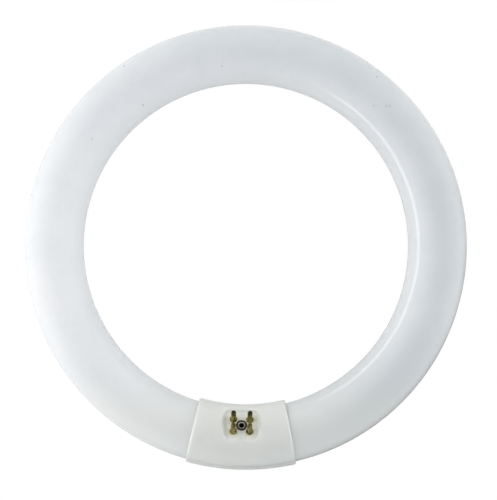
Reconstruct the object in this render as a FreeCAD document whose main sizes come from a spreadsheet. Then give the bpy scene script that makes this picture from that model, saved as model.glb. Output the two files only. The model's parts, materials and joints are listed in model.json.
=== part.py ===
import FreeCAD
import Part
import Sketcher
import math
import os

from FreeCAD import Vector

# A ring-shaped fluorescent lamp with a four-pin cap, in millimetres and degrees.
# The origin is the ring's centre and +Z is the ring's axis, on the side of the pins.
# The cap sits at -Y. Its pins lean inwards, so the cap has a frame of its own: the frame's
# origin is on the tube's centre line, X runs along the tube and Z points the way the pins do.

SIZES = {
    # Glass ring
    "ring_diameter": 216.0,
    "tube_diameter": 28.6,
    "end_round": 4.0,
    "stem_mouth": 14.0,
    "stem_floor": 10.4,
    "stem_depth": 12.0,
    "exhaust_diameter": 4.4,
    "exhaust_setback": 4.0,
    # Cap: two half shells around the glass ends
    "cap_grip": 12.6,
    "cap_end_splay": 11.7,
    "cap_wall": 1.45,
    "cap_inset": 0.25,
    "cap_edge_round": 1.0,
    "seam_width": 0.3,
    "seam_depth": 0.3,
    "seat_clearance": 0.15,
    "end_clearance": 1.5,
    # Sunk square pad that the pins stand on
    "pin_tilt": 32.0,
    "pad_margin": 1.8,
    "pad_corner": 2.2,
    "pad_depth": 2.4,
    "pad_draft": 35.0,
    "pad_floor": 2.2,
    # Contact pins
    "pin_pitch": 7.92,
    "pin_row_pitch": 6.35,
    "pin_diameter": 2.35,
    "pin_length": 7.6,
    "pin_bore": 1.0,
    "pin_tip_round": 0.45,
    "collar_overhang": 0.575,
    "collar_rim": 0.4,
    "collar_height": 1.1,
    "swage_overhang": 0.425,
    "swage_height": 0.6,
    "pin_clearance": 0.05,
    # Tubular rivet and the pillars that it clamps
    "rivet_diameter": 3.1,
    "rivet_bore": 2.1,
    "rivet_bevel": 0.8,
    "rivet_bevel_depth": 0.5,
    "rivet_head_height": 0.35,
    "rivet_head_clearance": 0.63,
    "rivet_rim_overhang": 0.95,
    "rivet_rim_height": 0.9,
    "rivet_edge_round": 0.12,
    "rivet_clearance": 0.1,
    "pillar_wall": 1.25,
    "well_clearance": 0.7,
    "well_level": 7.0,
    # Lead wires from the glass stems to the pins
    "wire_diameter": 0.6,
    "wire_run": 1.5,
    "wire_drop": 6.2,
    "wire_bend": 3.0,
    "wire_setback": 0.6,
}

# Sizes that follow from the driving ones
RING_RADIUS = "((Sizes.ring_diameter - Sizes.tube_diameter) / 2)"
SEAT_RADIUS = "(Sizes.tube_diameter / 2 + Sizes.seat_clearance)"
CAP_RADIUS = f"({SEAT_RADIUS} + Sizes.cap_wall)"
CAP_RING_RADIUS = f"({RING_RADIUS} - Sizes.cap_inset)"
CAP_EDGE_ROUND = "min(Sizes.cap_edge_round; 0.85 * (Sizes.cap_wall - Sizes.cap_inset))"
PIN_RADIUS = "(Sizes.pin_diameter / 2)"
COLLAR_RADIUS = f"({PIN_RADIUS} + Sizes.collar_overhang)"
SWAGE_RADIUS = f"({PIN_RADIUS} + Sizes.swage_overhang)"
PIN_TIP_ROUND = "min(Sizes.pin_tip_round; 0.35 * (Sizes.pin_diameter - Sizes.pin_bore))"
PIN_CIRCLE_RADIUS = "(sqrt(Sizes.pin_pitch ^ 2 + Sizes.pin_row_pitch ^ 2) / 2)"
PAD_SIDE = f"(Sizes.pin_pitch + 2 * {COLLAR_RADIUS} + 2 * Sizes.pad_margin)"
PAD_LEVEL = f"({CAP_RADIUS} - Sizes.pad_depth)"
PAD_BACK = f"({PAD_LEVEL} - Sizes.pad_floor)"
BLOCK_LENGTH = f"({PAD_SIDE} + 2 * (Sizes.pad_depth * tan(Sizes.pad_draft) + Sizes.cap_wall))"
HALF_GAP = f"({BLOCK_LENGTH} / 2 + Sizes.end_clearance)"
HALF_GAP_ANGLE = f"asin({HALF_GAP} / {RING_RADIUS})"
RING_SWEEP = f"360 - 2 * {HALF_GAP_ANGLE} / 1 deg"
HALF_CAP = f"({HALF_GAP} + Sizes.cap_grip)"
BEYOND_CAP = f"(2 * {CAP_RADIUS})"
CAP_REACH = f"({HALF_CAP} + {BEYOND_CAP} * tan(Sizes.cap_end_splay))"
RIVET_RADIUS = "(Sizes.rivet_diameter / 2)"
RIVET_HOLE_RADIUS = f"({RIVET_RADIUS} + Sizes.rivet_clearance)"
RIVET_HEAD_RADIUS = f"({PIN_CIRCLE_RADIUS} - {COLLAR_RADIUS} - Sizes.rivet_head_clearance)"
RIVET_MOUTH_RADIUS = "(Sizes.rivet_bore / 2 + Sizes.rivet_bevel)"
RIVET_RIM_RADIUS = f"({RIVET_RADIUS} + Sizes.rivet_rim_overhang)"
RIVET_EDGE_ROUND = f"min(Sizes.rivet_edge_round; 0.5 * ({RIVET_HEAD_RADIUS} - {RIVET_MOUTH_RADIUS}))"
WELL_RADIUS = f"({RIVET_RIM_RADIUS} + Sizes.well_clearance)"
STUB_ROUND = "0.4 * Sizes.exhaust_diameter"
WIRE_OFFSET = "((Sizes.stem_floor + Sizes.exhaust_diameter) / 4)"
CAP_TURN = "rotation(vector(1; 0; 0); -Sizes.pin_tilt)"
CAP_FRAME = f"placement(vector(0; -{RING_RADIUS}; 0); {CAP_TURN})"
SECTION_TURN = "placement(vector(0; 0; 0); rotation(vector(1; 1; 1); 120))"

# The side of the cap's middle that each pin stands on: along the tube, then across it
PIN_SIDES = [(-1, -1), (1, -1), (-1, 1), (1, 1)]

# How a sketch numbers its own axes and the points of a line, arc or circle
SKETCH_X, SKETCH_Y = range(-1, -3, -1)
START, END, CENTRE = range(1, 4)

# Lengths closer than this are the same length
SAME = 1e-5

doc = FreeCAD.newDocument("circular_fluorescent_tube")
sheet = doc.addObject("Spreadsheet::Sheet", "Sizes")
for row, (alias, size) in enumerate(SIZES.items(), start=1):
    sheet.set(f"A{row}", alias)
    sheet.set(f"B{row}", str(size))
    sheet.setAlias(f"B{row}", alias)
doc.recompute()


def value(expression):
    """The number that an expression over the sheet gives."""
    result = sheet.evalExpression(expression)
    return float(getattr(result, "Value", result))


def in_cap(x, y, z):
    """A placement in the cap's frame, as an expression."""
    return f"{CAP_FRAME} * placement(vector({x}; {y}; {z}); rotation(0; 0; 0))"


def on_pin(sides, level):
    """A placement on one pin's axis, at a level above the tube's centre line."""
    along, across = sides
    return in_cap(f"{along} * Sizes.pin_pitch / 2", f"{across} * Sizes.pin_row_pitch / 2", level)


def add(kind, name, placement=None, **bindings):
    """A document object with its properties bound to expressions."""
    item = doc.addObject(kind, name)
    for key, expression in bindings.items():
        item.setExpression(key, expression)
    if placement:
        item.setExpression("Placement", placement)
    return item


def combine(kind, name, base, tool):
    """A boolean of two objects."""
    item = doc.addObject(kind, name)
    item.Base = base
    item.Tool = tool
    doc.recompute()
    return item


def join(name, items):
    """Several objects fused into one."""
    item = doc.addObject("Part::MultiFuse", name)
    item.Shapes = items
    return item


def round_cap_rims(name, base):
    """A cap half with the outer rims of its flat ends rounded."""
    outside = [
        face for face in base.Shape.Faces
        if isinstance(face.Surface, Part.Toroid)
        and abs(face.Surface.MinorRadius - value(CAP_RADIUS)) < SAME
    ]
    ends = [face for face in base.Shape.Faces if isinstance(face.Surface, Part.Plane)]
    rims = [
        rim for face in outside for rim in face.Edges
        if any(rim.isSame(edge) for end in ends for edge in end.Edges)
    ]
    radius = value(CAP_EDGE_ROUND)
    item = doc.addObject("Part::Fillet", name)
    item.Base = base
    item.Edges = [
        (number, radius, radius)
        for number, edge in enumerate(base.Shape.Edges, start=1)
        if any(edge.isSame(rim) for rim in rims)
    ]
    doc.recompute()
    return item


def round_edges(body, name, radius, wanted):
    """A fillet on the round edges of a body's last feature that pass a test."""
    base = body.Tip
    item = body.newObject("PartDesign::Fillet", name)
    names = [
        f"Edge{number}"
        for number, edge in enumerate(base.Shape.Edges, start=1)
        if isinstance(edge.Curve, Part.Circle) and wanted(edge.Curve)
    ]
    item.Base = (base, names)
    item.setExpression("Radius", radius)
    doc.recompute()


def is_circle(curve, radius, level):
    """True for a circle of one radius at one height."""
    return abs(curve.Radius - value(radius)) < SAME and abs(curve.Center.z - value(level)) < SAME


def origin_plane(body, role):
    """One of a body's own origin planes."""
    return next(item for item in body.Origin.OriginFeatures if item.Role == role)


def body_sketch(body, name, role, offset=None):
    """A sketch on one of its body's own origin planes."""
    sketch = body.newObject("Sketcher::SketchObject", name)
    sketch.AttachmentSupport = (origin_plane(body, role), [""])
    sketch.MapMode = "FlatFace"
    if offset:
        sketch.setExpression("AttachmentOffset", offset)
    return sketch


def hold(sketch, kind, references, expression):
    """One dimension of a sketch, bound to an expression."""
    index = sketch.addConstraint(Sketcher.Constraint(kind, *references, value(expression)))
    sketch.setExpression(f"Constraints[{index}]", expression)


def hold_point(sketch, geometry, point, x, y):
    """Holds a point at a place measured from the sketch's origin, on its axes where that is 0."""
    for kind, axis, place in (("DistanceX", SKETCH_Y, x), ("DistanceY", SKETCH_X, y)):
        if place == "0":
            sketch.addConstraint(Sketcher.Constraint("PointOnObject", geometry, point, axis))
        else:
            hold(sketch, kind, (SKETCH_X, START, geometry, point), place)


def draw_outline(sketch, corners):
    """A closed outline of straight lines through corners that are given as expressions."""
    points = [Vector(value(x), value(y), 0) for x, y in corners]
    for start, end in zip(points, points[1:] + points[:1]):
        sketch.addGeometry(Part.LineSegment(start, end))
    for line, (x, y) in enumerate(corners):
        following = (line + 1) % len(corners)
        sketch.addConstraint(Sketcher.Constraint("Coincident", line, END, following, START))
        hold_point(sketch, line, START, x, y)


def draw_round_square(sketch, side, corner):
    """A square about the sketch's origin whose corners are quarter circles."""
    quarter = math.pi / 2
    reach = value(f"{side} / 2 - {corner}")
    corners = [(1, 1), (-1, 1), (-1, -1), (1, -1)]
    count = len(corners)
    for turn, (x, y) in enumerate(corners):
        circle = Part.Circle(Vector(x * reach, y * reach, 0), Vector(0, 0, 1), value(corner))
        sketch.addGeometry(Part.ArcOfCircle(circle, turn * quarter, (turn + 1) * quarter))
        hold_point(sketch, turn, CENTRE, f"{x} * ({side} / 2 - {corner})", f"{y} * ({side} / 2 - {corner})")
        hold(sketch, "Radius", (turn,), corner)
    for turn in range(count):
        following = (turn + 1) % count
        line = Part.LineSegment(sketch.getPoint(turn, END), sketch.getPoint(following, START))
        index = sketch.addGeometry(line)
        sketch.addConstraint(Sketcher.Constraint("Tangent", turn, END, index, START))
        sketch.addConstraint(Sketcher.Constraint("Tangent", index, END, following, START))


def turned(body, kind, name, sketch, axis, angle="360"):
    """A turned feature of a body, added or cut away around one of its sketch's axes."""
    item = body.newObject(kind, name)
    item.Profile = sketch
    item.ReferenceAxis = (sketch, [axis])
    item.setExpression("Angle", angle)
    doc.recompute()
    return item


def make_glass_tube():
    """The sealed ring, open at -Y, with a funnel-shaped stem and an exhaust stub in each end."""
    body = doc.addObject("PartDesign::Body", "glass_tube")
    section = body_sketch(body, "tube_section", "YZ_Plane")
    centre = Vector(value(RING_RADIUS), 0, 0)
    section.addGeometry(Part.Circle(centre, Vector(0, 0, 1), value("Sizes.tube_diameter / 2")))
    hold_point(section, 0, CENTRE, RING_RADIUS, "0")
    hold(section, "Diameter", (0,), "Sizes.tube_diameter")
    ring = turned(body, "PartDesign::Revolution", "ring", section, "V_Axis", RING_SWEEP)
    ring.Midplane = True

    end_centre = f"vector({HALF_GAP}; -{RING_RADIUS} * cos({HALF_GAP_ANGLE}); 0)"
    end_frame = f"placement({end_centre}; rotation(vector(0; 0; 1); {HALF_GAP_ANGLE}))"
    stem_section = body_sketch(body, "stem_section", "XY_Plane", end_frame)
    draw_outline(stem_section, [
        ("-Sizes.end_clearance", "0"),
        ("-Sizes.end_clearance", "Sizes.stem_mouth / 2"),
        ("0", "Sizes.stem_mouth / 2"),
        ("Sizes.stem_depth", "Sizes.stem_floor / 2"),
        ("Sizes.stem_depth", "Sizes.exhaust_diameter / 2"),
        ("Sizes.exhaust_setback", "Sizes.exhaust_diameter / 2"),
        ("Sizes.exhaust_setback", "0"),
    ])
    stem = turned(body, "PartDesign::Groove", "stem", stem_section, "H_Axis")
    both_stems = body.newObject("PartDesign::Mirrored", "both_stems")
    both_stems.Originals = [stem]
    both_stems.MirrorPlane = (origin_plane(body, "YZ_Plane"), [""])
    body.Tip = both_stems
    doc.recompute()

    tube_radius = value("Sizes.tube_diameter / 2")
    stub_radius = value("Sizes.exhaust_diameter / 2")
    stub_middle = value(f"{HALF_GAP} + (Sizes.stem_depth + Sizes.exhaust_setback) / 2")
    round_edges(body, "shoulders", "Sizes.end_round", lambda curve: abs(curve.Radius - tube_radius) < SAME)
    round_edges(
        body, "stub_ends", STUB_ROUND,
        lambda curve: abs(curve.Radius - stub_radius) < SAME and abs(curve.Center.x) < stub_middle,
    )
    return body


def draw_half_disc(sketch, side):
    """Half of the cap's section on one side of its parting line, with a step for the seam at each end."""
    ring_y = "Sizes.cap_inset * cos(Sizes.pin_tilt)"
    ring_z = "Sizes.cap_inset * sin(Sizes.pin_tilt)"
    step = f"{side} * Sizes.seam_width / 2"
    middle = Vector(value(ring_y), value(ring_z), 0)
    radius = value(CAP_RADIUS)
    lift = math.asin((value(step) - middle.y) / radius)
    circle = Part.Circle(middle, Vector(0, 0, 1), radius)
    if side > 0:
        arc = Part.ArcOfCircle(circle, lift, math.pi - lift)
    else:
        arc = Part.ArcOfCircle(circle, math.pi - lift, 2 * math.pi + lift)
    inward = Vector(side * value("Sizes.seam_depth"), 0, 0)
    step_start = arc.EndPoint + inward
    step_end = arc.StartPoint - inward
    corners = [
        arc.EndPoint,
        step_start,
        Vector(step_start.x, 0, 0),
        Vector(step_end.x, 0, 0),
        step_end,
        arc.StartPoint,
    ]
    outline = sketch.addGeometry(arc)
    lines = [sketch.addGeometry(Part.LineSegment(a, b)) for a, b in zip(corners, corners[1:])]
    loop = [outline] + lines
    for piece, following in zip(loop, loop[1:] + loop[:1]):
        sketch.addConstraint(Sketcher.Constraint("Coincident", piece, END, following, START))
    first_step, first_rise, parting, last_rise, last_step = lines
    hold_point(sketch, outline, CENTRE, ring_y, ring_z)
    hold(sketch, "Radius", (outline,), CAP_RADIUS)
    for point in (START, END):
        hold(sketch, "DistanceY", (SKETCH_X, START, outline, point), step)
        sketch.addConstraint(Sketcher.Constraint("PointOnObject", parting, point, SKETCH_X))
    for line in (first_step, last_step):
        sketch.addConstraint(Sketcher.Constraint("Horizontal", line))
        hold(sketch, "DistanceX", (line, START, line, END), f"{side} * Sizes.seam_depth")
    for line in (first_rise, last_rise):
        sketch.addConstraint(Sketcher.Constraint("Vertical", line))


def make_cap_half(name, side, ends, cavity):
    """One half of the cap: half of a bent rod, cut off at both ends, hollow, with soft rims."""
    section = add("Sketcher::SketchObject", f"{name}_section", f"{CAP_FRAME} * {SECTION_TURN}")
    draw_half_disc(section, side)
    rod = add("Part::Revolution", f"{name}_rod", Angle=f"2 * asin({CAP_REACH} / {RING_RADIUS})")
    rod.Source = section
    rod.Axis = Vector(0, 0, 1)
    rod.Symmetric = True
    rod.Solid = True
    blank = combine("Part::Common", f"{name}_blank", rod, ends)
    hollow = combine("Part::Cut", f"{name}_hollow", blank, cavity)
    return round_cap_rims(f"{name}_soft", hollow)


def make_cap_ends():
    """The space between the cap's two leaning end planes."""
    near_half = f"(2 * {HALF_CAP} - {CAP_REACH})"
    return add(
        "Part::Wedge", "cap_ends",
        Ymin=f"-{RING_RADIUS} - {BEYOND_CAP}", Ymax=f"-{RING_RADIUS} + {BEYOND_CAP}",
        Xmin=f"-{CAP_REACH}", Xmax=CAP_REACH, X2min=f"-{near_half}", X2max=near_half,
        Zmin=f"-{BEYOND_CAP}", Zmax=BEYOND_CAP, Z2min=f"-{BEYOND_CAP}", Z2max=BEYOND_CAP,
    )


def make_cap_cavity():
    """The space for the glass ends and wires, less the pad's thick floor and the two pillars."""
    bore = add("Part::Torus", "tube_bore", Radius1=RING_RADIUS, Radius2=SEAT_RADIUS)
    block = add(
        "Part::Box", "pad_block", in_cap(f"-{BLOCK_LENGTH} / 2", f"-{BEYOND_CAP}", PAD_BACK),
        Length=BLOCK_LENGTH, Width=f"2 * {BEYOND_CAP}", Height=BEYOND_CAP,
    )
    front_pillar = add(
        "Part::Cylinder", "front_pillar", in_cap("0", "0", "0"),
        Radius=f"{RIVET_HOLE_RADIUS} + Sizes.pillar_wall", Height=BEYOND_CAP,
    )
    rear_pillar = add(
        "Part::Cylinder", "rear_pillar", in_cap("0", "0", f"-{BEYOND_CAP}"),
        Radius=f"{WELL_RADIUS} + Sizes.cap_wall", Height=BEYOND_CAP,
    )
    return combine("Part::Cut", "cap_cavity", bore, join("cap_filling", [block, front_pillar, rear_pillar]))


def make_rivet_hole():
    """The hole for the rivet's shank through both pillars."""
    return add(
        "Part::Cylinder", "rivet_hole", in_cap("0", "0", f"-{BEYOND_CAP}"),
        Radius=RIVET_HOLE_RADIUS, Height=f"2 * {BEYOND_CAP}",
    )


def make_front_cap(half, rivet_hole):
    """The half shell with the pins: a sunk pad with holes for the pins and the rivet."""
    pad_outline = add("Sketcher::SketchObject", "pad_outline", in_cap("0", "0", PAD_LEVEL))
    draw_round_square(pad_outline, PAD_SIDE, "Sizes.pad_corner")
    recess = add("Part::Extrusion", "pad_recess", LengthFwd=BEYOND_CAP, TaperAngle="Sizes.pad_draft")
    recess.Base = pad_outline
    recess.DirMode = "Normal"
    recess.Solid = True
    openings = [recess, rivet_hole]
    for number, sides in enumerate(PIN_SIDES, start=1):
        openings.append(add(
            "Part::Cylinder", f"pin_hole_{number}", on_pin(sides, "0"),
            Radius=f"{PIN_RADIUS} + Sizes.pin_clearance", Height=BEYOND_CAP,
        ))
        openings.append(add(
            "Part::Cylinder", f"swage_room_{number}", on_pin(sides, "0"),
            Radius=f"{SWAGE_RADIUS} + Sizes.pin_clearance", Height=PAD_BACK,
        ))
    return combine("Part::Cut", "front_cap", half, join("front_openings", openings))


def make_rear_cap(half, rivet_hole):
    """The plain half shell, whose pillar is hollow behind so that the rivet can be set."""
    well = add(
        "Part::Cylinder", "rivet_well", in_cap("0", "0", f"-{BEYOND_CAP}"),
        Radius=WELL_RADIUS, Height=f"{BEYOND_CAP} - Sizes.well_level",
    )
    return combine("Part::Cut", "rear_cap", half, join("rear_openings", [well, rivet_hole]))


def make_contact_pin(number, sides):
    """A hollow turned pin with a flared foot on the pad and a swaged rim behind it."""
    body = add("PartDesign::Body", f"contact_pin_{number}", on_pin(sides, PAD_LEVEL))
    section = body_sketch(body, f"pin_section_{number}", "XZ_Plane")
    swage_end = "-Sizes.pad_floor - Sizes.swage_height"
    draw_outline(section, [
        ("Sizes.pin_bore / 2", swage_end),
        (SWAGE_RADIUS, swage_end),
        (SWAGE_RADIUS, "-Sizes.pad_floor"),
        (PIN_RADIUS, "-Sizes.pad_floor"),
        (PIN_RADIUS, "0"),
        (COLLAR_RADIUS, "0"),
        (COLLAR_RADIUS, "Sizes.collar_rim"),
        (PIN_RADIUS, "Sizes.collar_height"),
        (PIN_RADIUS, "Sizes.pin_length"),
        ("Sizes.pin_bore / 2", "Sizes.pin_length"),
    ])
    turned(body, "PartDesign::Revolution", f"pin_blank_{number}", section, "V_Axis")
    round_edges(
        body, f"pin_tip_{number}", PIN_TIP_ROUND,
        lambda curve: is_circle(curve, PIN_RADIUS, "Sizes.pin_length"),
    )
    return body


def make_clamp_rivet():
    """A tubular rivet: a flat head on the pad, an open mouth, and a rolled rim in the rear well."""
    body = add("PartDesign::Body", "clamp_rivet", in_cap("0", "0", PAD_LEVEL))
    section = body_sketch(body, "rivet_section", "XZ_Plane")
    rim_seat = f"-({PAD_LEVEL} + Sizes.well_level)"
    rim_end = f"{rim_seat} - Sizes.rivet_rim_height"
    draw_outline(section, [
        ("Sizes.rivet_bore / 2", rim_end),
        (RIVET_RIM_RADIUS, rim_end),
        (RIVET_RIM_RADIUS, rim_seat),
        (RIVET_RADIUS, rim_seat),
        (RIVET_RADIUS, "0"),
        (RIVET_HEAD_RADIUS, "0"),
        (RIVET_HEAD_RADIUS, "Sizes.rivet_head_height"),
        (RIVET_MOUTH_RADIUS, "Sizes.rivet_head_height"),
        ("Sizes.rivet_bore / 2", "Sizes.rivet_head_height - Sizes.rivet_bevel_depth"),
    ])
    turned(body, "PartDesign::Revolution", "rivet_blank", section, "V_Axis")
    round_edges(
        body, "rivet_edges", RIVET_EDGE_ROUND,
        lambda curve: is_circle(curve, RIVET_HEAD_RADIUS, "Sizes.rivet_head_height")
        or is_circle(curve, RIVET_RIM_RADIUS, rim_end),
    )
    return body


def bent_path(points, radius):
    """A wire of straight runs through points, joined by tangent arcs of one radius."""
    edges = []
    start = points[0]
    for before, corner, after in zip(points, points[1:], points[2:]):
        back = (before - corner).normalize()
        onward = (after - corner).normalize()
        half_turn = (math.pi - back.getAngle(onward)) / 2
        trim = radius * math.tan(half_turn)
        inward = (back + onward).normalize()
        middle = corner + inward * (radius / math.cos(half_turn) - radius)
        arc_start = corner + back * trim
        arc_end = corner + onward * trim
        edges.append(Part.LineSegment(start, arc_start).toShape())
        edges.append(Part.Arc(arc_start, middle, arc_end).toShape())
        start = arc_end
    edges.append(Part.LineSegment(start, points[-1]).toShape())
    return Part.Wire(edges)


def make_lead_wire(number, sides):
    """A bare wire from the floor of a glass stem to just below the tip of a pin."""
    along, across = sides
    gap_angle = math.radians(value(HALF_GAP_ANGLE))
    rim = Vector(along * math.sin(gap_angle), -math.cos(gap_angle), 0) * value(RING_RADIUS)
    outward = Vector(-along * math.cos(gap_angle), -math.sin(gap_angle), 0)
    aside = Vector(0, 0, -across * value(WIRE_OFFSET))
    points = [
        rim - outward * value("Sizes.stem_depth") + aside,
        rim + outward * value("Sizes.wire_run") + aside,
    ]
    for level in (
        f"{PAD_BACK} - Sizes.swage_height - Sizes.wire_drop",
        f"{PAD_LEVEL} + Sizes.pin_length - Sizes.wire_setback",
    ):
        points.append(sheet.evalExpression(on_pin(sides, level)).Base)
    path = bent_path(points, value("Sizes.wire_bend"))
    circle = Part.Circle(points[0], outward, value("Sizes.wire_diameter / 2"))
    item = doc.addObject("Part::Feature", f"lead_wire_{number}")
    item.Shape = path.makePipeShell([Part.Wire(circle.toShape())], True, True)
    return item


def make_parts():
    """Every sub-part of the lamp."""
    ends = make_cap_ends()
    cavity = make_cap_cavity()
    rivet_hole = make_rivet_hole()
    parts = [
        make_glass_tube(),
        make_front_cap(make_cap_half("front", 1, ends, cavity), rivet_hole),
        make_rear_cap(make_cap_half("rear", -1, ends, cavity), rivet_hole),
        make_clamp_rivet(),
    ]
    for number, sides in enumerate(PIN_SIDES, start=1):
        parts.append(make_contact_pin(number, sides))
        parts.append(make_lead_wire(number, sides))
    return parts


def check(parts):
    """Stops unless every object came out whole and every sub-part is one sound solid."""
    for item in doc.Objects:
        if "Invalid" in item.State or "Error" in item.State:
            raise RuntimeError(f"{item.Name} failed: {item.State}")
    for part in parts:
        shape = part.Shape
        if shape.isNull() or not shape.isValid() or len(shape.Solids) != 1:
            raise RuntimeError(f"{part.Name} is not one valid solid")


sub_parts = make_parts()
doc.recompute()
check(sub_parts)
os.makedirs("parts", exist_ok=True)
for sub_part in sub_parts:
    sub_part.Label = sub_part.Name
    sub_part.Shape.exportStep(f"parts/{sub_part.Label}.step")
    print(sub_part.Label, round(sub_part.Shape.Volume, 2), "mm3")
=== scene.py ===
import json
import math

import bpy
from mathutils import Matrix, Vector


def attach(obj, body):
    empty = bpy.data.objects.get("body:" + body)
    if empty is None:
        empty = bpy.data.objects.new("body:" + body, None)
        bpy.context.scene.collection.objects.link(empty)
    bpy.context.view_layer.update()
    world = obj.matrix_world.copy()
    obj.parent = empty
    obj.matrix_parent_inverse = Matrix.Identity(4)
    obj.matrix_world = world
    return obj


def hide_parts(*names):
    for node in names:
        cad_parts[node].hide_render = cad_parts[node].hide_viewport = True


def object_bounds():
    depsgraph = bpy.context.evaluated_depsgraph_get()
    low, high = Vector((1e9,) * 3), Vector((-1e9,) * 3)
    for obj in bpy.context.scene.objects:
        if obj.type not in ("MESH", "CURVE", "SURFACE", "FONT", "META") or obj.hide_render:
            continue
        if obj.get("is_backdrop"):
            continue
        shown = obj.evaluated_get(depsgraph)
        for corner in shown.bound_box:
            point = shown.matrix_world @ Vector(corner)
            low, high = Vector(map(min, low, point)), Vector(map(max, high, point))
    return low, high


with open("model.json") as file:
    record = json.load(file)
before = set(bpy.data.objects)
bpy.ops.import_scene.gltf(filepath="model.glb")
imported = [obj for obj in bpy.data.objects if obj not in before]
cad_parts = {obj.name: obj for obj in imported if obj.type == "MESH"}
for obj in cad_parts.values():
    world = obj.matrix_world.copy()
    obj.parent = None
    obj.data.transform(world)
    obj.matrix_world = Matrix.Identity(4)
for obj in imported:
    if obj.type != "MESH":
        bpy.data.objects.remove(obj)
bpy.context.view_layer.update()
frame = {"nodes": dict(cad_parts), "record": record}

MM = 0.001
UP = Vector((0.0, 0.0, 1.0))

# The lamp's own sizes, in metres
RING_RADIUS = 0.0937
TUBE_RADIUS = 0.0143
OUTER_RADIUS = RING_RADIUS + TUBE_RADIUS
PIN_SPREAD = (0.00396, 0.003175)
PIN_RADIUS = 0.001175
COLLAR_RADIUS = 0.00175
RIVET_BEVEL_RADIUS = 0.00185

# The pins' pattern: its middle, halfway up the pins, and its lean
pins = [mount for mount in frame["record"]["mounts"] if mount["kind"] == "pin"]
PIN_AXIS = Vector(pins[0]["axis"])
PIN_MIDDLE = sum((Vector(pin["pos_m"]) for pin in pins), Vector()) / len(pins)
PIN_LEAN = math.atan2(PIN_AXIS.y, PIN_AXIS.z)
PIN_HALF_LENGTH = MM * pins[0]["dims"]["length_mm"] / 2

# The glass ends, which the cap hides
HALF_GAP = 0.0121405
END_ROUND = 0.004
STEM_MOUTH_RADIUS = 0.007
STEM_FLOOR_RADIUS = 0.0052
STEM_DEPTH = 0.012
STUB_RADIUS = 0.0022
STUB_ROUND = 0.8 * STUB_RADIUS
STUB_SETBACK = 0.004

# How finely the glass ring is divided, and the angle from which its edges are sharp
RING_STEPS = 360
SECTION_STEPS = 72
ROUND_STEPS = 8
SHARP_ANGLE = math.radians(40.0)

# The look of the glass: where it turns grey towards its right end, where it turns warm beside the cap,
# and how far light spreads in its powder
GREY_ALONG_X = (-0.05, 0.06)
GREY_ALONG_Y = (-0.09, -0.02)
WARM_ALONG_Y = (-0.088, -0.058)
POWDER_SCATTER = (0.006, 0.006, 0.006)

# Dark pits in the coating: turn around the ring in degrees, place across the tube from -1 inside
# to 1 outside, radius, and depth of tone. The core is the share of the radius with the full depth
PITS = (
    (125.5, 0.81, 0.00055, 0.80),
    (98.9, -0.44, 0.00040, 0.55),
    (127.5, -0.66, 0.00045, 0.75),
    (146.5, -0.25, 0.00080, 0.16),
    (53.6, 0.68, 0.00050, 0.60),
    (49.0, -0.17, 0.00080, 0.14),
    (46.3, 0.11, 0.00070, 0.22),
    (45.6, 0.20, 0.00140, 0.10),
    (334.0, 0.72, 0.00060, 0.18),
)
PIT_CORE = 0.4

# The look of the cap: how far from a pin's axis its plastic is painted paler, as painted light in the
# pad's recess, and painted yellow, as painted light thrown back from the brass pins, how far below the
# pins' middle that fades out, how soft its edges are, and how far light spreads in it
PAD_LIGHT_REACH = (0.0040, 0.0062)
BRASS_LIGHT_REACH = (PIN_RADIUS, 0.0052)
PAD_DEPTH = (-4 * PIN_HALF_LENGTH, -2 * PIN_HALF_LENGTH)
CAP_EDGE_RADIUS = 0.0013
CAP_SCATTER = (0.005, 0.005, 0.005)

# The look of the metal: how far up the pins they tarnish and the wires darken, where painted shade darkens
# the collars towards their rims, and the rivet's dark flange and its mouth, which is painted dark as
# painted shade
TARNISH_HEIGHT = (0.4 * PIN_HALF_LENGTH, 0.95 * PIN_HALF_LENGTH)
BURNT_HEIGHT = (0.3 * PIN_HALF_LENGTH, 0.8 * PIN_HALF_LENGTH)
COLLAR_SHADE_REACH = (1.15 * PIN_RADIUS, COLLAR_RADIUS)
FLANGE_REACH = (0.88 * RIVET_BEVEL_RADIUS, 0.95 * RIVET_BEVEL_RADIUS)
MOUTH_SHADE_REACH = (0.70 * RIVET_BEVEL_RADIUS, 0.78 * RIVET_BEVEL_RADIUS)

# The picture: its width and height in pixels, the ring's centre and scale in it, and the camera's turn,
# height and lens
PICTURE_WIDTH = 497
PICTURE_HEIGHT = 500
RING_CENTRE_X = 245.9
RING_CENTRE_Y = 246.1
PIXELS_PER_METRE = 2043.0
PICTURE_TURN = math.radians(1.37)
CAMERA_HEIGHT = 0.8
SENSOR_WIDTH_MM = 36.0
CLIP_START = 0.05
CLIP_END = 20.0

# Light: an even cool sky, a warmer one low on three sides, each with its turn and strength,
# a lamp over the left side, and a small lamp inside the ring that only shows as a line on the glass
SKY_COLOUR = (0.90, 0.985, 1.08, 1.0)
SKY_STRENGTH = 0.376
LOW_COLOUR = (1.01, 0.985, 0.96, 1.0)
LOW_LIGHTS = ((0.0, 3.3), (90.0, 1.05), (187.0, 3.75))
LOW_FALL = 2.0
LAMP_COLOUR = (1.0, 0.89, 0.85)
LAMP_POWER = 0.112
LAMP_PLACE = Vector((-0.14, -0.02, 0.18))
LAMP_TARGET = Vector((-0.115, -0.02, 0.0))
LAMP_SIZE = (0.12, 0.12)
LINE_COLOUR = (1.0, 1.0, 1.0)
LINE_POWER = 0.036
LINE_PLACE = Vector((-0.03, 0.0045, 0.0145))
LINE_TARGET = Vector((0.0, 0.0045, 0.0145))
LINE_SIZE = (0.13, 0.028)
LINE_LEAN = math.radians(29.0)
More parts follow.
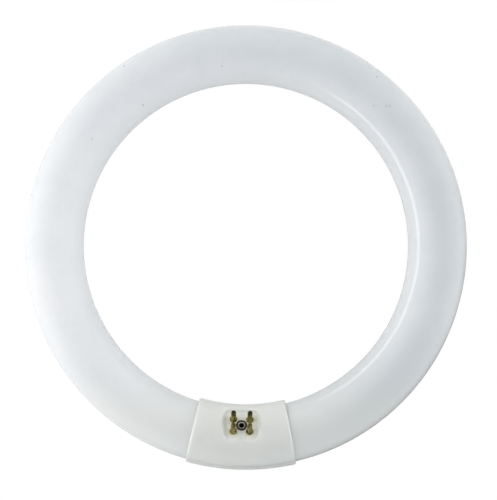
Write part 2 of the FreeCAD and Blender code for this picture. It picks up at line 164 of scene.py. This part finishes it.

# The floor: white where it is seen, darker in the contact shadow. For the light that it throws back
# it is a grey card, with painted light on the left and a painted shadow outside the ring towards the front
# right, which its reflections also show
FLOOR_HALF_SIZE = 3.0
BACKGROUND_SHARE = 0.98
CONTACT_REACH = 0.03
CONTACT_CLEAR = (0.0, 0.4)
CONTACT_TONE = 0.45
MIRROR_CLEAR = (0.35, 0.9)
MIRROR_TONE = 0.6
CARD_TONE = 0.42
CARD_LIT_TONE = 0.8
CARD_SHADOW_TONE = 0.12
LIT_ALONG_X = (-0.07, 0.03)
SHADE_TURN = -45.0
SHADE_REACH = 0.12
SHADE_DEPTH = 0.97


class Shader:
    """The nodes of one material or world, added and linked by name."""

    def __init__(self, tree):
        self.tree = tree
        tree.nodes.clear()

    def add(self, kind, inputs=(), **settings):
        """A new node. Each input is another node's output, which is linked, or a plain value."""
        node = self.tree.nodes.new("ShaderNode" + kind)
        for name, value in settings.items():
            setattr(node, name, value)
        for name, value in dict(inputs).items():
            socket = node.inputs[name]
            if isinstance(value, bpy.types.NodeSocket):
                self.tree.links.new(value, socket)
            else:
                socket.default_value = value
        return node

    def math(self, operation, *values):
        return self.add("Math", enumerate(values), operation=operation).outputs["Value"]

    def measure(self, operation, *vectors):
        """A number from one or two vectors, such as a length or a distance."""
        return self.add("VectorMath", enumerate(vectors), operation=operation).outputs["Value"]

    def hypotenuse(self, first, second):
        squares = [self.math("MULTIPLY", side, side) for side in (first, second)]
        return self.math("SQRT", self.math("ADD", *squares))

    def place(self, space="Object"):
        return self.add("TexCoord").outputs[space]

    def axes(self, place):
        return self.add("SeparateXYZ", {"Vector": place}).outputs

    def noise(self, place, scale, detail=2.0, roughness=0.5):
        inputs = {"Vector": place, "Scale": scale, "Detail": detail, "Roughness": roughness}
        return self.add("TexNoise", inputs).outputs["Fac"]

    def span(self, value, low, high, start=0.0, end=1.0):
        """A smooth step from start, where the value is low, to end, where it is high."""
        inputs = {"Value": value, "From Min": low, "From Max": high, "To Min": start, "To Max": end}
        return self.add("MapRange", inputs, interpolation_type="SMOOTHSTEP").outputs["Result"]

    def between(self, share, first, second):
        """A number between two others, by the Mix node's sockets for numbers."""
        return self.add("Mix", {0: share, 2: first, 3: second}, data_type="FLOAT").outputs[0]

    def blend(self, share, first, second):
        """A colour between two others, by the Mix node's sockets for colours."""
        return self.add("Mix", {0: share, 6: first, 7: second}, data_type="RGBA").outputs[2]

    def bump(self, height, distance, strength=0.5, below=None):
        inputs = {"Height": height, "Distance": distance, "Strength": strength}
        if below is not None:
            inputs["Normal"] = below
        return self.add("Bump", inputs).outputs["Normal"]

    def surface(self, **inputs):
        named = {name.replace("_", " "): value for name, value in inputs.items()}
        shader = self.add("BsdfPrincipled", named)
        self.add("OutputMaterial", {"Surface": shader.outputs["BSDF"]})


def new_material(name):
    material = bpy.data.materials.new(name)
    material.use_nodes = True
    return material, Shader(material.node_tree)


def new_object(name, data):
    made = bpy.data.objects.new(name, data)
    bpy.context.scene.collection.objects.link(made)
    return made


def rgb(red, green, blue):
    return (red, green, blue, 1.0)


def grey(tone):
    return rgb(tone, tone, tone)


def heading(turn):
    """The level direction at a turn around the ring, in degrees."""
    angle = math.radians(turn)
    return Vector((math.cos(angle), math.sin(angle), 0.0))


def on_tube(turn, across):
    """The point on the tube's upper side, by its turn around the ring and its place across the tube."""
    radius = RING_RADIUS + across * TUBE_RADIUS
    height = TUBE_RADIUS * math.sqrt(1 - across * across)
    return radius * heading(turn) + height * UP


def make_glass():
    """White powder under clear glass, greyer towards the right end, with a few dark pits."""
    powder = rgb(0.78, 0.80, 0.82)
    pale_powder = rgb(0.82, 0.835, 0.85)
    streak = rgb(0.84, 0.85, 0.86)
    speck = rgb(0.74, 0.755, 0.77)
    end_grey = rgb(0.725, 0.745, 0.755)
    warm_white = rgb(0.80, 0.805, 0.765)
    pit_black = rgb(0.05, 0.05, 0.055)
    glass_tint = rgb(0.93, 0.945, 0.94)
    material, shader = new_material("glass_over_powder")
    place = shader.place()
    clouds = shader.noise(place, scale=45.0, detail=4.0, roughness=0.55)
    streaks = shader.noise(place, scale=260.0, detail=3.0, roughness=0.6)
    grain = shader.noise(place, scale=2600.0)
    colour = shader.blend(shader.span(clouds, 0.3, 0.7), powder, pale_powder)
    colour = shader.blend(shader.span(streaks, 0.35, 0.75, end=0.35), colour, streak)
    colour = shader.blend(shader.span(grain, 0.3, 0.8, end=0.12), colour, speck)
    axes = shader.axes(place)
    greyest = shader.span(axes["X"], *GREY_ALONG_X, start=0.15, end=1.0)
    # greyer towards the right end, beside the cap
    tone_share = shader.span(axes["Y"], *GREY_ALONG_Y, start=greyest, end=0.0)
    colour = shader.blend(tone_share, colour, end_grey)
    warm = shader.span(axes["Y"], *WARM_ALONG_Y, start=0.6, end=0.0)
    colour = shader.blend(warm, colour, warm_white)
    for turn, across, radius, tone in PITS:
        offset = shader.measure("DISTANCE", place, on_tube(turn, across))
        pit = shader.span(offset, PIT_CORE * radius, radius, start=tone, end=0.0)
        colour = shader.blend(pit, colour, pit_black)
    drawn = shader.noise(place, scale=70.0)
    normal = shader.bump(drawn, distance=0.00006)
    shader.surface(
        Base_Color=colour, Roughness=0.5, Specular_IOR_Level=0.0, Normal=normal,
        Coat_Weight=0.8, Coat_Roughness=0.06, Coat_IOR=1.5, Coat_Tint=glass_tint, Coat_Normal=normal,
        Subsurface_Weight=0.3, Subsurface_Radius=POWDER_SCATTER, Subsurface_Scale=1.0,
    )
    return material


def quarter_round(setback, radius, size):
    """Points of a rounded rim, from the side at its radius to the end face at its setback."""
    points = []
    for step in range(ROUND_STEPS + 1):
        turn = math.pi / 2 * step / ROUND_STEPS
        points.append((setback + size * (1 - math.sin(turn)), radius - size * (1 - math.cos(turn))))
    return points


def end_profile():
    """Distance in from the tube's end and radius, from the tube's outside to the exhaust stub's tip."""
    rim = quarter_round(0.0, TUBE_RADIUS, END_ROUND)
    stem = [(0.0, STEM_MOUTH_RADIUS), (STEM_DEPTH, STEM_FLOOR_RADIUS), (STEM_DEPTH, STUB_RADIUS)]
    tip = quarter_round(STUB_SETBACK, STUB_RADIUS, STUB_ROUND)
    return rim + stem + tip


def section(turn, along, radius):
    """A circle across the tube, at a turn around the ring from the cap's middle."""
    outward = Vector((math.sin(turn), -math.cos(turn), 0.0))
    onward = Vector((math.cos(turn), math.sin(turn), 0.0))
    centre = RING_RADIUS * outward + along * onward
    points = []
    for step in range(SECTION_STEPS):
        angle = 2 * math.pi * step / SECTION_STEPS
        points.append(centre + radius * (math.cos(angle) * outward + math.sin(angle) * UP))
    return points


def skin(sections):
    """The points and faces of a closed skin over a row of sections."""
    points = [point for ring in sections for point in ring]
    first_end = tuple(reversed(range(SECTION_STEPS)))
    last_end = tuple(range(len(points) - SECTION_STEPS, len(points)))
    faces = [first_end, last_end]
    for row in range(len(sections) - 1):
        for step in range(SECTION_STEPS):
            here = row * SECTION_STEPS + step
            beside = row * SECTION_STEPS + (step + 1) % SECTION_STEPS
            faces.append((here, beside, beside + SECTION_STEPS, here + SECTION_STEPS))
    return points, faces


def make_glass_ring(material):
    """The bent tube as one fine skin, so that its long reflections run smoothly."""
    end = math.asin(HALF_GAP / RING_RADIUS)
    first = end + END_ROUND / RING_RADIUS
    sweep = 2 * (math.pi - first)
    profile = end_profile()
    sections = [section(end, along, radius) for along, radius in reversed(profile)]
    for step in range(1, RING_STEPS):
        sections.append(section(first + sweep * step / RING_STEPS, 0.0, TUBE_RADIUS))
    sections += [section(-end, -along, radius) for along, radius in profile]
    points, faces = skin(sections)
    mesh = bpy.data.meshes.new("glass_ring")
    mesh.from_pydata(points, [], faces)
    mesh.shade_smooth()
    mesh.set_sharp_from_angle(angle=SHARP_ANGLE)
    mesh.materials.append(material)
    ring = new_object("glass_ring", mesh)
    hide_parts("glass_tube")
    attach(ring, "root")


def on_pins(shader):
    """The place in the lamp's frame, and coordinates across (X and Y) and up (Z) the pins' pattern."""
    place = shader.place()
    inputs = {"Vector": place, "Location": PIN_MIDDLE, "Rotation": (-PIN_LEAN, 0.0, 0.0)}
    turned = shader.add("Mapping", inputs, vector_type="TEXTURE").outputs["Vector"]
    return place, shader.axes(turned)


def from_pins(shader, axes):
    """The distance from the nearest pin's axis."""
    sides = []
    for name, spread in zip("XY", PIN_SPREAD):
        sides.append(shader.math("SUBTRACT", shader.math("ABSOLUTE", axes[name]), spread))
    return shader.hypotenuse(*sides)


def make_cap_plastic():
    """Moulded white plastic, a little soiled, painted paler on the pad as painted light, and painted
    yellow around the pins as painted light from the brass.
    """
    plastic = rgb(0.815, 0.845, 0.775)
    pale_plastic = rgb(0.855, 0.88, 0.815)
    soiled = rgb(0.74, 0.74, 0.65)
    pad_painted_light = rgb(0.93, 0.945, 0.885)
    brass_light_yellow = rgb(0.97, 0.945, 0.67)
    material, shader = new_material("moulded_cap")
    place, axes = on_pins(shader)
    flow = shader.noise(place, scale=60.0, detail=4.0, roughness=0.6)
    grain = shader.noise(place, scale=1900.0)
    soil = shader.noise(place, scale=320.0, detail=4.0, roughness=0.65)
    colour = shader.blend(shader.span(flow, 0.3, 0.7), plastic, pale_plastic)
    colour = shader.blend(shader.span(soil, 0.55, 0.85, end=0.25), colour, soiled)
    distance = from_pins(shader, axes)
    outward = shader.span(axes["Z"], *PAD_DEPTH)
    # painted light: the pad and its recess are painted paler
    painted_pad_light = shader.span(distance, *PAD_LIGHT_REACH, start=outward, end=0.0)
    colour = shader.blend(painted_pad_light, colour, pad_painted_light)
    # painted light: yellow light thrown back from the brass pins, reaching the pad's walls
    painted_brass_light = shader.span(distance, *BRASS_LIGHT_REACH, start=outward, end=0.0)
    colour = shader.blend(painted_brass_light, colour, brass_light_yellow)
    edges = shader.add("Bevel", {"Radius": CAP_EDGE_RADIUS}, samples=8).outputs["Normal"]
    fine = shader.bump(grain, distance=0.00003, below=edges)
    normal = shader.bump(flow, distance=0.0002, strength=0.4, below=fine)
    shader.surface(
        Base_Color=colour, Roughness=shader.span(soil, 0.3, 0.8, start=0.34, end=0.48),
        Specular_IOR_Level=0.25, Normal=normal,
        Subsurface_Weight=0.65, Subsurface_Radius=CAP_SCATTER, Subsurface_Scale=1.0,
    )
    return material


def make_brass():
    """Patchy brass, tarnished towards the pins' tips, with painted shade on their collars' rims."""
    dark_brass = rgb(0.055, 0.045, 0.006)
    bright_brass = rgb(0.42, 0.36, 0.12)
    tarnished = rgb(0.030, 0.028, 0.006)
    collar_shade_colour = rgb(0.045, 0.038, 0.004)
    material, shader = new_material("dull_brass")
    place, axes = on_pins(shader)
    patches = shader.noise(place, scale=1000.0, detail=3.0, roughness=0.6)
    scratches = shader.noise(place, scale=5200.0)
    colour = shader.blend(shader.span(patches, 0.40, 0.58), dark_brass, bright_brass)
    darkest = shader.span(axes["Y"], -PIN_SPREAD[1], PIN_SPREAD[1], start=0.45, end=0.92)
    tarnish = shader.span(axes["Z"], *TARNISH_HEIGHT, end=darkest)
    colour = shader.blend(tarnish, colour, tarnished)
    # painted shade: the collars darken towards their rims
    painted_collar_shade = shader.span(from_pins(shader, axes), *COLLAR_SHADE_REACH, end=0.75)
    colour = shader.blend(painted_collar_shade, colour, collar_shade_colour)
    shader.surface(
        Base_Color=colour, Metallic=0.9, Roughness=shader.span(scratches, 0.3, 0.7, start=0.28, end=0.5),
        Normal=shader.bump(scratches, distance=0.00004),
    )
    return material


def make_rivet_metal():
    """Worn plating, bright on the rivet's rolled rim, near black on its flange, and painted dark in its
    mouth as painted shade.
    """
    dull_plating = rgb(0.34, 0.34, 0.27)
    bright_plating = rgb(0.64, 0.64, 0.54)
    near_black = rgb(0.012, 0.012, 0.006)
    dark_grey = rgb(0.06, 0.058, 0.035)
    material, shader = new_material("rivet_plating")
    place, axes = on_pins(shader)
    wear = shader.noise(place, scale=1500.0, detail=3.0, roughness=0.6)
    tone_share = shader.span(wear, 0.3, 0.7)
    radius = shader.hypotenuse(axes["X"], axes["Y"])
    bright = shader.blend(tone_share, dull_plating, bright_plating)
    dark = shader.blend(tone_share, near_black, dark_grey)
    flange = shader.span(radius, *FLANGE_REACH)
    # painted shade: the mouth, leading into the bore, is painted dark
    painted_mouth_shade = shader.span(radius, *MOUTH_SHADE_REACH, start=1.0, end=0.0)
    colour = shader.blend(shader.math("MAXIMUM", flange, painted_mouth_shade), bright, dark)
    shader.surface(
        Base_Color=colour, Metallic=0.95, Roughness=shader.span(wear, 0.3, 0.7, start=0.25, end=0.45),
        Normal=shader.bump(wear, distance=0.00003),
    )
    return material


def make_wire_metal():
    """Bare wire that is burnt dark towards the pins' tips."""
    dull_wire = rgb(0.46, 0.40, 0.33)
    bright_wire = rgb(0.66, 0.60, 0.52)
    burnt_black = rgb(0.02, 0.018, 0.015)
    material, shader = new_material("bare_wire")
    place, axes = on_pins(shader)
    wear = shader.noise(place, scale=1200.0, detail=3.0, roughness=0.6)
    colour = shader.blend(shader.span(wear, 0.3, 0.7), dull_wire, bright_wire)
    burnt = shader.span(axes["Z"], *BURNT_HEIGHT, end=0.95)
    colour = shader.blend(burnt, colour, burnt_black)
    shader.surface(
        Base_Color=colour, Metallic=1.0, Roughness=shader.span(wear, 0.3, 0.7, start=0.3, end=0.5),
        Normal=shader.bump(wear, distance=0.00002),
    )
    return material


def dress(material, *names):
    for name in names:
        node = frame["nodes"][name]
        node.data.materials.clear()
        node.data.materials.append(material)


def seen_share(shader):
    """1 where the camera, a reflection or a see-through surface looks straight at the background."""
    path = shader.add("LightPath").outputs
    seen = shader.math("MAXIMUM", path["Is Camera Ray"], path["Is Glossy Ray"])
    return shader.math("MAXIMUM", seen, path["Is Transmission Ray"])


def front_right_shade(shader, place):
    """The share of painted shadow: 1 on the floor just outside the ring towards its front right, fading to
    0 around that.
    """
    distance = shader.measure("LENGTH", place)
    outside = shader.span(distance, RING_RADIUS, OUTER_RADIUS)
    near = shader.span(distance, OUTER_RADIUS, OUTER_RADIUS + SHADE_REACH, start=1.0, end=0.0)
    towards = shader.measure("DOT_PRODUCT", place, heading(SHADE_TURN))
    side = shader.span(towards, 0.0, OUTER_RADIUS)
    return shader.math("MULTIPLY", shader.math("MULTIPLY", outside, near), side)


def make_floor_white():
    """White with a contact shadow where it is seen or mirrored, a painted shadow at its front right in
    reflections, and a grey card for other light with painted light and painted shadow.
    """
    material, shader = new_material("white_floor")
    place = shader.place()
    shaded = front_right_shade(shader, place)
    left = shader.span(shader.axes(place)["X"], *LIT_ALONG_X, start=1.0, end=0.0)
    # painted shadow: the card is darker outside the ring towards the front right
    tone = shader.blend(shaded, grey(CARD_TONE), grey(CARD_SHADOW_TONE))
    # painted light: the card is lighter on the left
    tone = shader.blend(left, tone, grey(CARD_LIT_TONE))
    card = shader.add("BsdfDiffuse", {"Color": tone})
    clear = shader.add("AmbientOcclusion", {"Distance": CONTACT_REACH}, samples=8).outputs["AO"]
    direct = shader.span(clear, *CONTACT_CLEAR, start=CONTACT_TONE, end=1.0 / BACKGROUND_SHARE)
    open_floor = shader.span(clear, *MIRROR_CLEAR, start=MIRROR_TONE, end=1.0)
    # painted shadow in reflections: the mirrored floor is dark towards the front right
    unshaded = shader.math("MULTIPLY_ADD", shaded, -SHADE_DEPTH, 1.0)
    mirrored = shader.math("MULTIPLY", open_floor, unshaded)
    camera_share = shader.add("LightPath").outputs["Is Camera Ray"]
    level = shader.between(camera_share, mirrored, direct)
    glow = shader.add("Emission", {"Color": grey(1.0), "Strength": level})
    share = shader.math("MULTIPLY", seen_share(shader), BACKGROUND_SHARE)
    both = shader.add("MixShader", {0: share, 1: card.outputs["BSDF"], 2: glow.outputs["Emission"]})
    shader.add("OutputMaterial", {"Surface": both.outputs["Shader"]})
    return material


def make_floor(material):
    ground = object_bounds()[0].z
    mesh = bpy.data.meshes.new("floor")
    sides = ((-1, -1), (1, -1), (1, 1), (-1, 1))
    corners = [(x * FLOOR_HALF_SIZE, y * FLOOR_HALF_SIZE, ground) for x, y in sides]
    mesh.from_pydata(corners, [], [(0, 1, 2, 3)])
    mesh.materials.append(material)
    floor = new_object("floor", mesh)
    floor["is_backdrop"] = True


def make_sky():
    """White where it is seen or mirrored, and the studio's soft light for everything else."""
    world = bpy.data.worlds.new("studio")
    world.use_nodes = True
    bpy.context.scene.world = world
    shader = Shader(world.node_tree)
    place = shader.place("Generated")
    height = shader.math("MAXIMUM", shader.axes(place)["Z"], 0.0)
    low = shader.math("POWER", shader.math("SUBTRACT", 1.0, height), LOW_FALL)
    sides = 0.0
    for turn, strength in LOW_LIGHTS:
        facing = shader.measure("DOT_PRODUCT", place, heading(turn))
        sides = shader.math("MULTIPLY_ADD", shader.math("MAXIMUM", facing, 0.0), strength, sides)
    even = shader.add("Background", {"Color": SKY_COLOUR, "Strength": SKY_STRENGTH})
    glow = shader.add("Background", {"Color": LOW_COLOUR, "Strength": shader.math("MULTIPLY", low, sides)})
    sky = shader.add("AddShader", {0: even.outputs["Background"], 1: glow.outputs["Background"]})
    white = shader.add("Background", {"Color": grey(1.0), "Strength": 1.0})
    seen = seen_share(shader)
    both = shader.add("MixShader", {0: seen, 1: sky.outputs["Shader"], 2: white.outputs["Background"]})
    shader.add("OutputWorld", {"Surface": both.outputs["Shader"]})


def softbox(name, place, target, size, power, colour):
    """A rectangular lamp, turned towards its target and not seen itself."""
    light = bpy.data.lights.new(name, "AREA")
    light.shape = "RECTANGLE"
    light.size, light.size_y = size
    light.energy = power
    light.color = colour
    box = new_object(name, light)
    box.location = place
    box.rotation_euler = (target - place).to_track_quat("-Z", "Y").to_euler()
    box.visible_camera = False
    return box


def make_lights():
    lamp = softbox("lamp", LAMP_PLACE, LAMP_TARGET, LAMP_SIZE, LAMP_POWER, LAMP_COLOUR)
    lamp.visible_glossy = False
    line = softbox("line", LINE_PLACE, LINE_TARGET, LINE_SIZE, LINE_POWER, LINE_COLOUR)
    line.rotation_euler.rotate_axis("Z", LINE_LEAN)
    line.visible_diffuse = False


def make_camera():
    """A camera straight above, moved aside so that the ring's centre falls on its place in the picture."""
    camera = bpy.data.cameras.new("camera")
    camera.sensor_width = SENSOR_WIDTH_MM
    focal_pixels = PIXELS_PER_METRE * CAMERA_HEIGHT
    camera.lens = focal_pixels * SENSOR_WIDTH_MM / max(PICTURE_WIDTH, PICTURE_HEIGHT)
    camera.clip_start = CLIP_START
    camera.clip_end = CLIP_END
    right = (PICTURE_WIDTH / 2 - RING_CENTRE_X) / PIXELS_PER_METRE
    up = (RING_CENTRE_Y - PICTURE_HEIGHT / 2) / PIXELS_PER_METRE
    across = math.cos(PICTURE_TURN) * right - math.sin(PICTURE_TURN) * up
    along = math.sin(PICTURE_TURN) * right + math.cos(PICTURE_TURN) * up
    stand = new_object("camera", camera)
    stand.location = (across, along, CAMERA_HEIGHT)
    stand.rotation_euler = (0.0, 0.0, PICTURE_TURN)
    bpy.context.scene.camera = stand


make_glass_ring(make_glass())
dress(make_cap_plastic(), "front_cap", "rear_cap")
dress(make_brass(), "contact_pin_1", "contact_pin_2", "contact_pin_3", "contact_pin_4")
dress(make_rivet_metal(), "clamp_rivet")
dress(make_wire_metal(), "lead_wire_1", "lead_wire_2", "lead_wire_3", "lead_wire_4")
make_floor(make_floor_white())
make_sky()
make_lights()
make_camera()
bpy.context.scene.view_settings.view_transform = "Standard"
